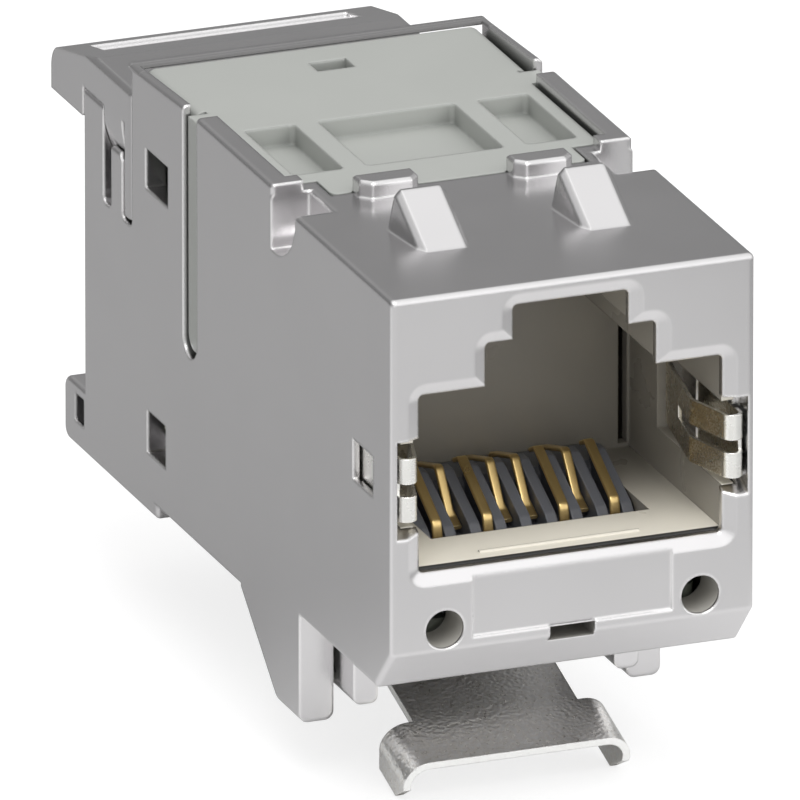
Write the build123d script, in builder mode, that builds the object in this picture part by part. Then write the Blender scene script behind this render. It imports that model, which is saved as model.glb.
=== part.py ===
from build123d import *
import os
from math import cos, hypot, radians, sin, tan

os.makedirs("parts", exist_ok=True)

# A shielded keystone jack: a die-cast housing with the plug port in its front face, a plastic
# stuffer cap pressed down over eight upright cutting terminals, and a metal rear cap that clamps
# the cable. The origin is the middle of the front face, +Y runs back from it and +Z is up.
# The port's size sets the front face, and what lies behind follows from the block's depth.

# The port: a wide part with two steps up to the tab channel, its heights measured from its floor
port_width = 12.1
port_height = 7.04
step_width = 6.8
step_height = 8.75
tab_width = 4.6
tab_height = 10.12
port_depth = 9.9
port_bevel_width = 0.5
port_bevel_depth = 0.25
port_corner = 0.2

# Metal round the port in the front face
face_wall = 1.2
face_roof = 0.84
face_sill = 4.84

# Outer form of the housing
block_depth = 12.4
face_chamfer_depth = 1.6
face_chamfer_height = 1.74
edge_radius = 0.2
rail_rise = 0.4
rail_fall = 0.25
rail_width = 1.3
cover_setback = 0.8
cover_length = 13.8
body_drop = 0.89
tail_drop = 0.49
tail_length = 2.4

# Slots at the back of the side walls, one behind the other, and the walls between them
leg_slot = 1.1
tongue_length = 1.1
open_slot = 0.9
rear_wall = 2.1
slot_radius = 0.3
slot_drop = 6.3
tongue_fall = 3.74
tongue_chamfer = 0.3
strip_fall = 2.45

# Walls and clearances
lip_depth = 0.55
front_wall = 1.9
floor_wall = 1.0
roof_wall = 1.6
port_side_wall = 0.55
rear_left_wall = 1.0
rear_right_wall = 1.65
seat_gap = 0.05
slip_gap = 0.1
cover_gap = 0.15

# The ivory lining of the port
lining_reveal = 0.1
lining_wall = 0.5
lining_back = 0.5
lining_floor = 0.6
lining_roof = 0.4
comb_margin = 0.3
comb_front = 3.35
comb_height = 0.3
corner_slot_width = 0.35
corner_slot_lift = 0.2
corner_slot_drop = 0.5
moulded_line_width = 6.4
moulded_line_front = 1.35
moulded_line_thickness = 0.15
moulded_line_height = 0.1

# Eight spring contacts, four rising from the front and four dropping from the back. The points
# of each bent wire are depths and heights above the port's floor
contact_count = 8
contact_pitch = 1.016
contact_width = 0.42
contact_thickness = 0.25
contact_bend = 0.22
contact_gap = 0.06
leg_clearance = 0.12
front_leg = 4.75
back_leg_setback = 0.4
rising_shoulder = -0.5
rising_foot = (4.87, 0.05)
rising_ridge = (7.45, 1.46)
rising_tip = (7.95, 1.21)
dropping_shoulder = 0.64
dropping_ridge = (7.26, 1.31)
dropping_foot = (6.0, -0.30)
dropping_tip = (5.5, -0.52)
rising = (True, False, True, False, False, True, False, True)

# The ribbed block that holds the contacts
rib_width = 0.42
rib_height = 1.01
rib_nose = 4.6
rib_nose_rise = 0.35
rib_nose_run = 0.35
rib_nose_round = 0.4
carrier_front = 2.4
carrier_gap = 0.08
carrier_drop = 0.89
carrier_bevel = 0.4
bar_setback = 1.95
bar_height = 0.41
bar_bevel = 0.25

# The circuit board and what stands on it
board_lift = 0.4
board_thickness = 0.8
board_gap = 0.2
board_setback = 0.8
board_width = 11.5
board_corner = 0.4
ledge_width = 0.8
pin_hole_radius = 0.5
pin_hole_sides = 6
pin_reach = 0.3

# The terminal block and its eight upright cutting terminals
terminals_per_row = 4
terminal_pitch = 2.1
terminal_setback = 1.0
terminal_inset = 1.55
terminal_width = 1.5
terminal_thickness = 0.4
terminal_rise = 1.7
terminal_fork = 0.35
terminal_fork_depth = 2.6
terminal_throat = 0.25
terminal_throat_depth = 0.5
terminal_tail = 0.6
idc_reach = 0.4
idc_setback = 1.4
idc_height = 7.2
idc_width = 11.5
idc_trough_inset = 3.15
idc_trough_slope = 0.6
idc_trough_depth = 2.6
nub_length = 1.0
wire_channel_width = 0.9
wire_channel_depth = 1.3
wire_channel_reach = 2.0

# The stuffer cap
cover_margin = 0.98
cover_skin = 1.1
cover_rim = 0.5
cover_lift = 0.2
cover_wall = 0.9
cover_room = 5.2
tongue_margin = 0.62
tongue_reach = 0.8
tongue_depth = 0.95
tongue_corner = 0.3
pocket_depth = 0.8
pocket_radius = 0.2
catch_depth = 1.5
pocket_margin = 0.57
side_pocket_width = 2.03
middle_pocket_width = 5.5
pocket_setback = 0.9
pocket_length = 5.2
peep_width = 1.5
peep_length = 1.0
peep_setback = 11.2
groove_setback = 6.97
groove_width = 1.5
groove_depth = 9.45
arm_recess = 0.2
arm_root = 0.5
arm_gap = 0.25
shoulder_wall = 0.35
shoulder_drop = 1.7

# Hooks and stops on top of the block, which hold the jack in a panel
hook_offset = 3.27
hook_start = 4.5
hook_run = 2.7
hook_flat = 0.16
hook_height = 1.53
hook_top_width = 1.52
hook_bevel = 0.24
hook_strip_width = 2.16
hook_strip_drop = 0.6
hook_base_width = 2.51
stop_offset = 3.08
stop_width = 2.35
stop_length = 1.1
stop_height = 0.65
stop_corner = 0.4
stop_edge = 0.1

# Finger scoops in front of the shoulders
scoop_width = 1.53
scoop_length = 2.56
scoop_depth = 2.15

# Side windows: onto the shield spring, the terminal block's nub and the stuffer cap's nub
spring_window_front = 1.85
spring_window_length = 2.09
spring_window_inset = 0.44
idc_window_setback = 3.5
idc_window_length = 2.0
idc_window_height = 1.74
cover_window_setback = 3.8
cover_window_length = 2.4
cover_window_drop = 4.22
cover_window_height = 1.64

# Marks on the front face
hole_inset = 2.15
hole_lift = 2.56
hole_radius = 0.76
field_width = 7.95
field_lift = 2.11
field_height = 2.37
field_depth = 0.12
key_slot_width = 1.8
key_slot_lift = 1.5
key_slot_height = 0.6
key_slot_depth = 1.5

# Legs and guide blocks under the block
leg_front = 9.5
leg_width = 1.37
leg_height = 4.25
leg_flat = 2.1
leg_run = 6.1
leg_overlap = 0.25
leg_corner = 0.35
leg_bend = 1.0
guide_gap = 0.16
guide_width = 0.97
guide_reach = 1.68
guide_height = 3.15
guide_corner = 0.3
rib_inset = 0.58
rib_setback = 0.8
rib_flat = 0.6
rib_run = 2.3

# Shield springs in the sides of the port, heights measured from the port's floor
clip_lift = 2.16
clip_height = 2.5
clip_thickness = 0.15
clip_inset = 0.43
clip_reveal = 0.12
clip_front = 0.06
clip_ridge_depth = 2.25
clip_ridge_reach = 0.43
clip_tip_depth = 6.5
clip_tip_reveal = 0.3
clip_bend = 0.6
clip_leg_end = 4.4
clip_slit_lift = 1.0
clip_slit_height = 0.5
clip_slit_end = 4.3
clip_window_end = 7.07
clip_window_margin = 0.4
clip_back_wall = 0.27
notch_margin = 0.7
notch_reach = 0.95
notch_depth = 0.9

# Latch spring: one straight leaf with a wing folded down on each side of its front end
leaf_width = 6.6
leaf_thickness = 0.3
leaf_slope = 16.25
leaf_front = 5.4
leaf_reach = 18.6
leaf_seat = 0.54
leaf_travel = 6.0
leaf_hold = 1.0
leaf_lip = 1.6
leaf_gap = 0.12
leaf_side_gap = 0.2
wing_length = 2.6
wing_flat = 3.55
wing_bend = 1.0
wing_depth = 2.0
wing_curl = 0.1
wing_front_depth = 0.95
wing_taper = 1.4
wing_tip_rise = 0.3

# Rear cap
cap_drop = 0.9
cap_flat_setback = 1.05
cap_slope_reach = 2.0
cap_slope_fall = 0.66
cap_reach = 3.4
cap_round = 1.0
cap_edge = 0.2
cap_flange_fall = 1.12
cap_cut_back = 1.8
cap_leg_gap = 0.25
cap_leg_thickness = 0.9
cap_curve_reach = 0.95
cap_curve_drop = 2.65
trench_left_inset = 1.05
trench_right_inset = 1.25
trench_setback = 0.5
trench_length = 1.7
trench_depth = 0.2
trench_slope = 0.25
cap_leg_round = 0.3
cable_height = 0.4
cable_radius = 3.4

# The lug below the cable entry
lug_reach = 2.15
lug_height = 2.54
lug_corner = 0.5
lug_pocket_length = 1.0
lug_pocket_height = 1.15
lug_pocket_lift = 1.0
lug_pocket_depth = 1.2

# Front face and port, from the middle of the face
half_width = port_width / 2 + face_wall
top = (face_sill + tab_height + face_roof) / 2
bottom = -top
port_half = port_width / 2
port_floor = bottom + face_sill
port_ceiling = port_floor + port_height
step_ceiling = port_floor + step_height
tab_ceiling = port_floor + tab_height
field_low = bottom + field_lift
key_slot_low = bottom + key_slot_lift

# Depths along the body
cover_front = block_depth + cover_setback
rail_end = cover_front + cover_length
tongue_front = rail_end + leg_slot
tongue_end = tongue_front + tongue_length
strip_front = tongue_end + open_slot
leg_slot_middle = rail_end + leg_slot / 2
open_slot_middle = tongue_end + open_slot / 2
body_end = strip_front + rear_wall
lug_end = body_end + lug_reach
cover_tongue_front = block_depth - tongue_reach
stop_back = cover_tongue_front + slip_gap
stop_middle = stop_back - stop_length / 2
scoop_front = block_depth - scoop_length
groove_front = cover_front + groove_setback
groove_middle = groove_front + groove_width / 2
groove_end = groove_front + groove_width
tail_start = rail_end - tail_length

# Heights of the body
rail_top = top + rail_rise
strip_top = top - strip_fall
tongue_top = top - tongue_fall
slot_floor = top - slot_drop
groove_floor = top - groove_depth
body_bottom = bottom - body_drop
tail_bottom = body_bottom - tail_drop
cavity_floor = bottom + floor_wall

# Widths of the body
cover_half = half_width - cover_margin
cavity_half = cover_half + cover_gap
scoop_inner = half_width - scoop_width
tongue_half = scoop_inner - tongue_margin
port_cavity_half = half_width - port_side_wall
rear_left_inner = half_width - rear_left_wall
rear_right_inner = half_width - rear_right_wall
leg_inner = half_width - leg_width
guide_outer = leg_inner - guide_gap
rib_inner = leg_inner - rib_inset

# The lining and its comb window
lining_half = port_half + lining_reveal + lining_wall
lining_step_half = step_width / 2 + lining_reveal + lining_wall
lining_tab_half = tab_width / 2 + lining_reveal + lining_wall
lining_front = lip_depth + seat_gap
lining_end = port_depth + lining_back
lining_bottom = port_floor - lining_floor
comb_half = (contact_count * contact_pitch + 2 * comb_margin) / 2
carrier_half = comb_half - carrier_gap

# Board, terminals and contact feet
board_bottom = cavity_floor + board_lift
board_top = board_bottom + board_thickness
board_front = front_wall + board_gap
board_back = rail_end - board_setback
pin_end = board_bottom - pin_reach
wire_end = pin_end + contact_thickness / 2
idc_foot = board_top + seat_gap
idc_top = board_top + idc_height
idc_front = cover_front - idc_reach
idc_back = rail_end - idc_setback
terminal_offset = idc_width / 2 - terminal_inset
terminal_first = cover_front + terminal_setback
terminal_top = idc_top + terminal_rise
cover_foot = idc_top + cover_lift
cover_back = rail_end - slip_gap
back_leg = port_depth - back_leg_setback
carrier_top = port_floor - carrier_drop
rib_top = port_floor + rib_height
bar_front = port_depth - bar_setback
bar_top = port_floor + bar_height

# Shield springs
clip_low = port_floor + clip_lift
clip_high = clip_low + clip_height
clip_outer = half_width - clip_inset
clip_inner = port_half + clip_reveal
clip_ridge = port_half - clip_ridge_reach
clip_tip = port_half + clip_tip_reveal

# The latch leaf and the recess that clears it when it is pressed up
slope = tan(radians(leaf_slope))
pressed_slope = tan(radians(leaf_slope - leaf_travel))
leaf_drop = leaf_thickness / cos(radians(leaf_slope))
leaf_tail = leaf_front + leaf_reach
leaf_pivot = leaf_tail - leaf_hold
leaf_front_height = bottom + leaf_seat - leaf_reach * slope
pivot_top = bottom + leaf_seat - leaf_hold * slope
tail_wall = leaf_tail + leaf_thickness * sin(radians(leaf_slope)) + leaf_gap
tail_top = leaf_front_height + (tail_wall - leaf_front) * slope
roof_start = leaf_pivot - (pivot_top + leaf_gap - body_bottom) / pressed_slope
lip_start = leaf_tail - leaf_lip
lip_low = leaf_front_height + (lip_start - leaf_front) * slope - leaf_drop - leaf_gap
below = bottom - leg_height

# Rear cap
cap_top = top - cap_drop
cap_low = strip_top + slip_gap
cap_back = body_end + cap_reach
cap_right = half_width - cap_cut_back
cap_flat_end = body_end - cap_flat_setback
cap_fall = cap_slope_fall / (cap_flat_setback + cap_slope_reach)


def block(x, y, z, mode=Mode.SUBTRACT):
    """Cut or add a block between two values of x, of y and of z."""
    with Locations(((x[0] + x[1]) / 2, (y[0] + y[1]) / 2, (z[0] + z[1]) / 2)):
        Box(abs(x[1] - x[0]), y[1] - y[0], z[1] - z[0], mode=mode)


def block_pair(x, y, z, mode=Mode.SUBTRACT):
    """Cut or add the same block on the right and on the left."""
    for side in (1, -1):
        block((side * x[0], side * x[1]), y, z, mode)


def stepped(half, low, ceiling, step_half, step_top, tab_half, tab_top):
    """Points of a port section: a wide part, a step and the tab channel above it."""
    right = [(half, low), (half, ceiling), (step_half, ceiling), (step_half, step_top),
             (tab_half, step_top), (tab_half, tab_top)]
    left = [(-x, z) for x, z in reversed(right)]
    return right + left


# Housing: one casting, drawn as its side outline and hollowed from the front and from the top
with BuildPart() as housing:
    with BuildSketch(Plane.YZ) as side_outline:
        with BuildLine():
            Polyline((0, top), (block_depth, top), (block_depth, rail_top), (groove_end, rail_top),
                     (rail_end, rail_top - rail_fall), (leg_slot_middle, rail_top - rail_fall),
                     (leg_slot_middle, tongue_top), (open_slot_middle, tongue_top), (open_slot_middle, strip_top),
                     (body_end, strip_top), (body_end, tail_bottom + lug_height),
                     (lug_end, tail_bottom + lug_height), (lug_end, tail_bottom), (tail_start, tail_bottom),
                     (tail_start, body_bottom), (leg_front, body_bottom), (leg_front, bottom),
                     (face_chamfer_depth, bottom), (0, bottom + face_chamfer_height), close=True)
        make_face()
        fillet(side_outline.vertices().group_by(Axis.X)[-1], lug_corner)
    extrude(amount=half_width, both=True)

    # Round edges all round the front face and both outer side faces
    side_faces = housing.faces().filter_by(Axis.X).sort_by(Axis.X)
    outer_edges = side_faces[0].outer_wire().edges() + side_faces[-1].outer_wire().edges()
    front_edges = housing.faces().sort_by(Axis.Y)[0].edges().filter_by(Axis.X)
    fillet(outer_edges + front_edges, edge_radius)

    # Slots of the rear cap's legs, in front of the tongue and behind it
    with BuildSketch(Plane.YZ) as leg_slots:
        with BuildLine():
            Polyline((rail_end, top), (rail_end, slot_floor), (tongue_front, slot_floor),
                     (tongue_front, tongue_top - tongue_chamfer), (tongue_front + tongue_chamfer, tongue_top),
                     (tongue_front + tongue_chamfer, top), close=True)
        make_face()
        with Locations((open_slot_middle, (slot_floor + top) / 2)):
            Rectangle(open_slot, top - slot_floor)
        fillet(leg_slots.vertices().group_by(Axis.Y)[0], slot_radius)
    extrude(amount=half_width, both=True, mode=Mode.SUBTRACT)

    # Legs and guide blocks: rounded below in the front view, with a bent sloping back
    leg_slope_end = leg_front + leg_run
    rib_front = leg_front + rib_setback
    rib_end = rib_front + rib_run
    for side in (1, -1):
        for inner, outer, front, height, flat, end, corner, bend in (
                (leg_inner, half_width, leg_front, leg_height, leg_flat, leg_slope_end, leg_corner, leg_bend),
                (guide_outer - guide_width, guide_outer, leg_front - guide_reach, guide_height,
                 guide_reach + rib_setback, rib_end, guide_corner, guide_corner),
                (rib_inner, leg_inner + leg_overlap, rib_front, guide_height, rib_flat, rib_end,
                 guide_corner, guide_corner)):
            foot = bottom - height
            with BuildSketch(Plane.XZ.offset(-front)) as leg_face:
                with Locations((side * (inner + outer) / 2, (foot + cavity_floor) / 2)):
                    Rectangle(outer - inner, cavity_floor - foot)
                fillet(leg_face.vertices().group_by(Axis.Y)[0], corner)
            extrude(amount=front - end)
            with BuildSketch(Plane.YZ.offset(side * inner)):
                with BuildLine():
                    FilletPolyline((front, foot), (front + flat, foot), (end, body_bottom), radius=bend)
                    Polyline((end, body_bottom), (end, foot - corner), (front, foot - corner), (front, foot))
                make_face()
            extrude(amount=side * (outer - inner), mode=Mode.SUBTRACT)

    # Pockets in both ends of the lug below the cable entry
    block_pair((half_width - lug_pocket_depth, half_width), (body_end, body_end + lug_pocket_length),
               (tail_bottom + lug_pocket_lift, tail_bottom + lug_pocket_lift + lug_pocket_height))

    # Hooks: a bevelled section drawn out along the slope, with a short level top at the back
    hook_half = [(hook_top_width / 2, 0), (hook_top_width / 2 + hook_bevel, -hook_bevel),
                 (hook_strip_width / 2, -hook_strip_drop), (hook_base_width / 2, -hook_height)]
    hook_outline = hook_half + [(-x, z) for x, z in reversed(hook_half)]
    hook_ridge = hook_start + hook_run
    for side in (1, -1):
        with BuildSketch(Plane.XZ.offset(-hook_start)):
            with BuildLine():
                Polyline(*[(side * hook_offset + x, top + z) for x, z in hook_outline], close=True)
            make_face()
        extrude(amount=hypot(hook_run, hook_height), dir=(0, hook_run, hook_height))
        with BuildSketch(Plane.XZ.offset(-hook_ridge)):
            with BuildLine():
                Polyline(*[(side * hook_offset + x, top + hook_height + z) for x, z in hook_outline], close=True)
            make_face()
        extrude(amount=-hook_flat)

    # Stops behind the hooks, with bevelled front corners and a bevelled top
    for side in (1, -1):
        with BuildSketch(Plane.XY.offset(top - edge_radius)) as stop_plan:
            with Locations((side * stop_offset, stop_middle)):
                Rectangle(stop_width, stop_length)
            chamfer(stop_plan.vertices().group_by(Axis.Y)[0], stop_corner)
        extrude(amount=stop_height + edge_radius)
    chamfer(housing.faces().filter_by_position(Axis.Z, top + stop_height - seat_gap, top + stop_height + seat_gap)
            .edges(), stop_edge)

    # Finger scoops, hollowed with a round front wall and a soft inner edge
    for side in (1, -1):
        with BuildSketch(Plane.YZ.offset(side * scoop_inner)):
            with BuildLine():
                Line((scoop_front, top + rail_rise), (scoop_front, top))
                CenterArc((scoop_front + scoop_depth, top), scoop_depth, 180, 90)
                Polyline((scoop_front + scoop_depth, top - scoop_depth), (block_depth, top - scoop_depth),
                         (block_depth, top + rail_rise), (scoop_front, top + rail_rise))
            make_face()
        extrude(amount=side * scoop_width, mode=Mode.SUBTRACT)
    scoop_edges = (housing.edges().filter_by(Axis.Y).filter_by_position(Axis.Z, top - seat_gap, top + seat_gap)
                   .filter_by(lambda edge: abs(abs(edge.center().X) - scoop_inner) < seat_gap))
    fillet(scoop_edges, edge_radius)

    # Port opening through the lip, bevelled, then the room for the lining behind it
    with BuildSketch(Plane.XZ) as port_outline:
        with BuildLine():
            Polyline(*stepped(port_half, port_floor, port_ceiling, step_width / 2, step_ceiling,
                              tab_width / 2, tab_ceiling), close=True)
        make_face()
        corner_rows = port_outline.vertices().group_by(Axis.Y)
        fillet([corner for row in corner_rows for corner in (row.sort_by(Axis.X)[0], row.sort_by(Axis.X)[-1])],
               port_corner)
    extrude(amount=-lining_end, mode=Mode.SUBTRACT)
    front_face = housing.faces().sort_by(Axis.Y)[0]
    chamfer(front_face.inner_wires()[0].edges(), port_bevel_width, port_bevel_depth, reference=front_face)
    with BuildSketch(Plane.XZ.offset(-lip_depth)):
        with BuildLine():
            Polyline(*stepped(port_cavity_half, lining_bottom - seat_gap,
                              port_ceiling + lining_reveal + lining_wall + seat_gap,
                              lining_step_half + seat_gap,
                              step_ceiling + lining_reveal + lining_wall + seat_gap,
                              lining_tab_half + seat_gap, top - lining_roof), close=True)
        make_face()
    extrude(amount=lip_depth - lining_end - seat_gap, mode=Mode.SUBTRACT)

    # Room for the board and contacts below the port, and for the terminals behind it
    board_room = board_width / 2 + cover_gap
    block((-board_room, board_room), (front_wall, lining_end), (cavity_floor, lining_bottom))
    block((-tongue_half, tongue_half), (lining_end, cover_front), (cavity_floor, top - roof_wall))
    block((-cavity_half, cavity_half), (lining_end, cover_front), (cavity_floor, top - scoop_depth - floor_wall))
    block((-cavity_half, cavity_half), (cover_front - slip_gap, rail_end), (cavity_floor, rail_top))
    block((-rear_left_inner, rear_right_inner), (rail_end, strip_front), (cavity_floor, top))
    block((-rear_left_inner, rear_right_inner), (strip_front, body_end), (cable_height, top))
    with BuildSketch(Plane.XZ.offset(-strip_front)):
        with Locations((0, cable_height)):
            Circle(cable_radius)
    extrude(amount=-rear_wall, mode=Mode.SUBTRACT)

    # Ledges that carry the circuit board on both sides
    ledge_inner = board_width / 2 - ledge_width
    block_pair((ledge_inner, cavity_half), (lining_end, rail_end), (cavity_floor, board_bottom), mode=Mode.ADD)
    block_pair((ledge_inner, board_room), (front_wall, lining_end), (cavity_floor, board_bottom), mode=Mode.ADD)

    # Seat for the stuffer cap's front tongue, and the gap between the two rails
    with BuildSketch(Plane.XY.offset(top - tongue_depth - seat_gap)):
        with Locations((0, (cover_tongue_front - slip_gap + cover_front) / 2)):
            Rectangle(2 * (tongue_half + slip_gap), cover_front - cover_tongue_front + slip_gap)
        with Locations((-stop_offset, stop_middle), (stop_offset, stop_middle)):
            Rectangle(stop_width, stop_length, mode=Mode.SUBTRACT)
    extrude(amount=tongue_depth + seat_gap, mode=Mode.SUBTRACT)
    block((rail_width - half_width, half_width - rail_width), (block_depth, cover_front), (top, rail_top))
    block_pair((cavity_half, half_width - shoulder_wall), (groove_end, rail_end), (top - shoulder_drop, rail_top))

    # Grooves for the stuffer cap's arms, open at the top and round at the bottom
    groove_radius = groove_width / 2
    for side in (1, -1):
        with BuildSketch(Plane.YZ.offset(side * (cavity_half - arm_root))):
            with BuildLine():
                Line((groove_front, rail_top), (groove_front, groove_floor + groove_radius))
                ThreePointArc((groove_front, groove_floor + groove_radius), (groove_middle, groove_floor),
                              (groove_end, groove_floor + groove_radius))
                Polyline((groove_end, groove_floor + groove_radius), (groove_end, rail_top),
                         (groove_front, rail_top))
            make_face()
        extrude(amount=side * (half_width - cavity_half + arm_root), mode=Mode.SUBTRACT)

    # Windows in the side walls
    idc_window = (rail_end - idc_window_setback, rail_end - idc_window_setback + idc_window_length)
    cover_window = (rail_end - cover_window_setback, rail_end - cover_window_setback + cover_window_length)
    cover_window_low = top - cover_window_drop
    block_pair((port_cavity_half - slip_gap, half_width),
               (spring_window_front, spring_window_front + spring_window_length),
               (clip_low + spring_window_inset, clip_high - spring_window_inset))
    block_pair((cavity_half - slip_gap, half_width), idc_window, (cavity_floor, cavity_floor + idc_window_height))
    block_pair((cavity_half - slip_gap, half_width), cover_window,
               (cover_window_low, cover_window_low + cover_window_height))

    # Notches and pockets for the shield springs
    for side in (1, -1):
        with BuildSketch(Plane.YZ.offset(side * port_half)):
            with BuildLine():
                Polyline((0, clip_low - notch_margin), (notch_depth, clip_low - notch_margin + notch_depth / 2),
                         (notch_depth, clip_high + notch_margin), (0, clip_high + notch_margin), close=True)
            make_face()
        extrude(amount=side * notch_reach, mode=Mode.SUBTRACT)
    block_pair((port_cavity_half - slip_gap, half_width - clip_back_wall), (0, clip_leg_end + slip_gap),
               (clip_low - slip_gap, clip_high + slip_gap))

    # Front face: two holes, a shallow blank field and the key slot below it
    with BuildSketch(Plane.XZ):
        with Locations((hole_inset - half_width, bottom + hole_lift),
                       (half_width - hole_inset, bottom + hole_lift)):
            Circle(hole_radius)
    extrude(amount=-front_wall - slip_gap, mode=Mode.SUBTRACT)
    block((-field_width / 2, field_width / 2), (0, field_depth), (field_low, field_low + field_height))
    block((-key_slot_width / 2, key_slot_width / 2), (0, key_slot_depth),
          (key_slot_low, key_slot_low + key_slot_height))

    # Recess for the latch spring, whose roof clears the leaf when it is pressed up
    with BuildSketch(Plane.YZ):
        with BuildLine():
            Polyline((roof_start, below), (roof_start, body_bottom),
                     (leaf_pivot, pivot_top + leaf_gap), (tail_wall, tail_top + leaf_gap),
                     (tail_wall, tail_top - leaf_drop - 2 * leaf_gap),
                     (lip_start, lip_low), (lip_start, below), close=True)
        make_face()
    extrude(amount=leaf_width / 2 + leaf_side_gap, both=True, mode=Mode.SUBTRACT)

housing.part.label = "housing"
export_step(housing.part, "parts/housing.step")

# Ivory lining: the plastic box of the port, stepped like the port, with a comb window in its floor
with BuildPart() as port_lining:
    with BuildSketch(Plane.XZ.offset(-lining_front)):
        with BuildLine():
            Polyline(*stepped(lining_half, lining_bottom, port_ceiling + lining_reveal + lining_wall,
                              lining_step_half, step_ceiling + lining_reveal + lining_wall,
                              lining_tab_half, top - lining_roof - seat_gap), close=True)
        make_face()
    extrude(amount=lining_front - lining_end)
    with BuildSketch(Plane.XZ.offset(-lining_front)):
        with BuildLine():
            Polyline(*stepped(port_half + lining_reveal, port_floor + lining_reveal / 2,
                              port_ceiling + lining_reveal, step_width / 2 + lining_reveal,
                              step_ceiling + lining_reveal, tab_width / 2 + lining_reveal,
                              tab_ceiling + lining_reveal), close=True)
        make_face()
    extrude(amount=lining_front - port_depth, mode=Mode.SUBTRACT)
    rim_edges = port_lining.faces().sort_by(Axis.Y)[0].edges()
    fillet(rim_edges.filter_by(Axis.X).sort_by(Axis.Z)[1], lining_wall / 2)
    block((-comb_half, comb_half), (comb_front, lining_end), (lining_bottom, port_floor + comb_height))
    block_pair((port_half - corner_slot_width, port_half), (port_depth, lining_end),
               (port_floor + corner_slot_lift, port_ceiling - corner_slot_drop))
    block_pair((port_half - slip_gap, lining_half), (lining_front, clip_window_end),
               (clip_low - clip_window_margin, clip_high + clip_window_margin))
    block((-moulded_line_width / 2, moulded_line_width / 2),
          (moulded_line_front, moulded_line_front + moulded_line_thickness),
          (port_floor, port_floor + moulded_line_height), mode=Mode.ADD)

port_lining.part.label = "port_lining"
export_step(port_lining.part, "parts/port_lining.step")

# Where each contact stands, and the two forms of bent wire
contact_places = [(i - (contact_count - 1) / 2) * contact_pitch for i in range(contact_count)]
rising_route = [(front_leg, wire_end), (front_leg, port_floor + rising_shoulder)]
rising_route += [(y, port_floor + z) for y, z in (rising_foot, rising_ridge, rising_tip)]
dropping_route = [(back_leg, wire_end), (back_leg, port_floor + dropping_shoulder)]
dropping_route += [(y, port_floor + z) for y, z in (dropping_ridge, dropping_foot, dropping_tip)]

# Contact carrier: a plastic block on the board, with a rib between each two contacts
with BuildPart() as contact_carrier:
    with BuildSketch(Plane.YZ):
        with BuildLine():
            Polyline((carrier_front, board_top + seat_gap), (lining_end, board_top + seat_gap),
                     (lining_end, lining_bottom - comb_height),
                     (port_depth - seat_gap, lining_bottom - comb_height),
                     (port_depth - seat_gap, bar_top), (bar_front + bar_bevel, bar_top),
                     (bar_front, bar_top - bar_bevel), (bar_front, carrier_top),
                     (carrier_front + carrier_bevel, carrier_top), (carrier_front, carrier_top - carrier_bevel),
                     close=True)
        make_face()
    extrude(amount=carrier_half, both=True)
    for place in [(i - contact_count / 2) * contact_pitch for i in range(contact_count + 1)]:
        with BuildSketch(Plane.YZ.offset(place - rib_width / 2)) as rib:
            with BuildLine():
                Polyline((rib_nose, carrier_top - seat_gap), (rib_nose, carrier_top + rib_nose_rise),
                         (rib_nose + rib_nose_run, carrier_top + 2 * rib_nose_rise),
                         (bar_front - rib_nose_run, rib_top), (bar_front + bar_bevel, rib_top),
                         (bar_front + bar_bevel, carrier_top - seat_gap), close=True)
            make_face()
            fillet(rib.vertices().filter_by_position(Axis.X, rib_nose + rib_nose_run - seat_gap,
                                                     rib_nose + rib_nose_run + seat_gap), rib_nose_round)
        extrude(amount=rib_width)
    block_pair((carrier_half, comb_half + contact_pitch), (carrier_front, lining_end), (board_top, rib_top))
    channel = contact_width / 2 + contact_gap
    wall = contact_thickness / 2 + leg_clearance
    for place, rises in zip(contact_places, rising):
        sides = (place - channel, place + channel)
        leg = front_leg if rises else back_leg
        block(sides, (leg - wall, leg + wall), (board_top, rib_top))
        if rises:
            block(sides, (leg - wall, rib_nose + rib_nose_run), (carrier_top - rib_nose_rise, bar_top))

contact_carrier.part.label = "contact_carrier"
export_step(contact_carrier.part, "parts/contact_carrier.step")

# Contacts: flat spring wire, bent in its own plane
for number, (place, rises) in enumerate(zip(contact_places, rising), start=1):
    route = rising_route if rises else dropping_route
    with BuildPart() as contact:
        with BuildSketch(Plane.YZ.offset(place - contact_width / 2)):
            with BuildLine():
                FilletPolyline(*route, radius=contact_bend)
                offset(amount=contact_thickness / 2, kind=Kind.TANGENT, side=Side.BOTH)
            make_face()
        extrude(amount=contact_width)
    contact.part.label = f"contact_{number}"
    export_step(contact.part, f"parts/contact_{number}.step")

# Shield springs: a strip folded round the front of the lining, split into two fingers
for side, name in ((1, "shield_spring_right"), (-1, "shield_spring_left")):
    with BuildPart() as spring:
        bend = (clip_outer - clip_inner) / 2
        with BuildSketch(Plane.XY.offset(clip_low)):
            with BuildLine():
                Line((side * clip_outer, clip_leg_end), (side * clip_outer, clip_front + bend))
                ThreePointArc((side * clip_outer, clip_front + bend),
                              (side * (clip_outer - bend), clip_front),
                              (side * clip_inner, clip_front + bend))
                FilletPolyline((side * clip_inner, clip_front + bend),
                               (side * clip_ridge, clip_ridge_depth),
                               (side * clip_tip, clip_tip_depth), radius=clip_bend)
                offset(amount=clip_thickness / 2, kind=Kind.TANGENT, side=Side.BOTH)
            make_face()
        extrude(amount=clip_height)
        slit = (clip_low + clip_slit_lift, clip_low + clip_slit_lift + clip_slit_height)
        block((side * (clip_ridge - 2 * clip_thickness), side * (clip_outer - bend + seat_gap)),
              (-clip_thickness, clip_slit_end), slit)
        block((side * clip_inner, side * (clip_outer + clip_thickness)), (-clip_thickness, clip_front + bend),
              slit)
    spring.part.label = name
    export_step(spring.part, f"parts/{name}.step")

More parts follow.
